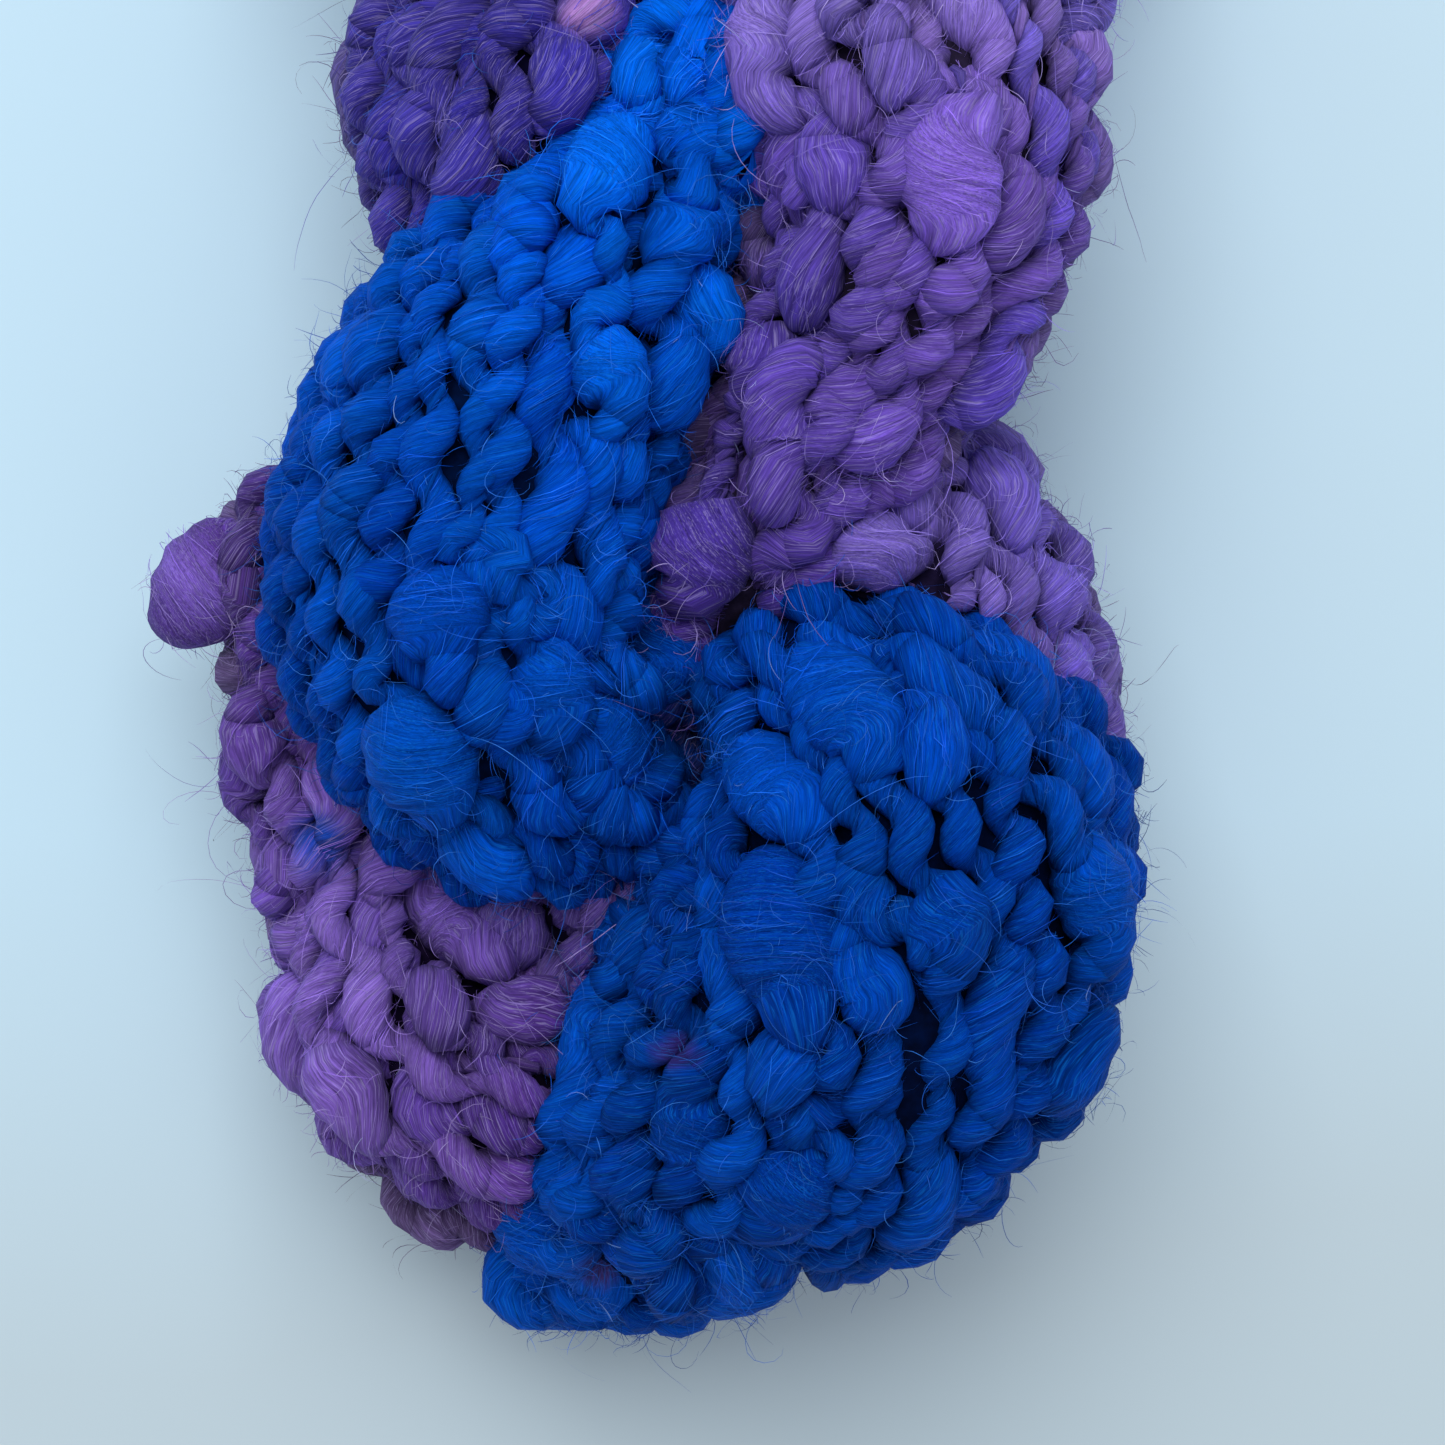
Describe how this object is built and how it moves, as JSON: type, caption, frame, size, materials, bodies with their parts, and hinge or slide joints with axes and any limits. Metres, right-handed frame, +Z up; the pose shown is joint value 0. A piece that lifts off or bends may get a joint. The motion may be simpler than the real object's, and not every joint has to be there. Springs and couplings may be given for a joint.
{
  "type": "hank of thick and thin yarn",
  "caption": "Twisted hank of hand-spun thick and thin plied wool yarn in blue and purple bundles, lying flat.",
  "frame": {"origin": "centre of the hank's box in X and Y, on the surface that it lies on", "axes": "+Y along the hank, +Z up from the surface, +X across the hank"},
  "size_m": [0.1352, 0.2768, 0.0746],
  "materials": {
    "yarn": "matte brushed wool, blue and purple, with a fuzzy halo of loose fibres"
  },
  "bodies": {
    "root": {"hank": "yarn"}
  },
  "joints": []
}
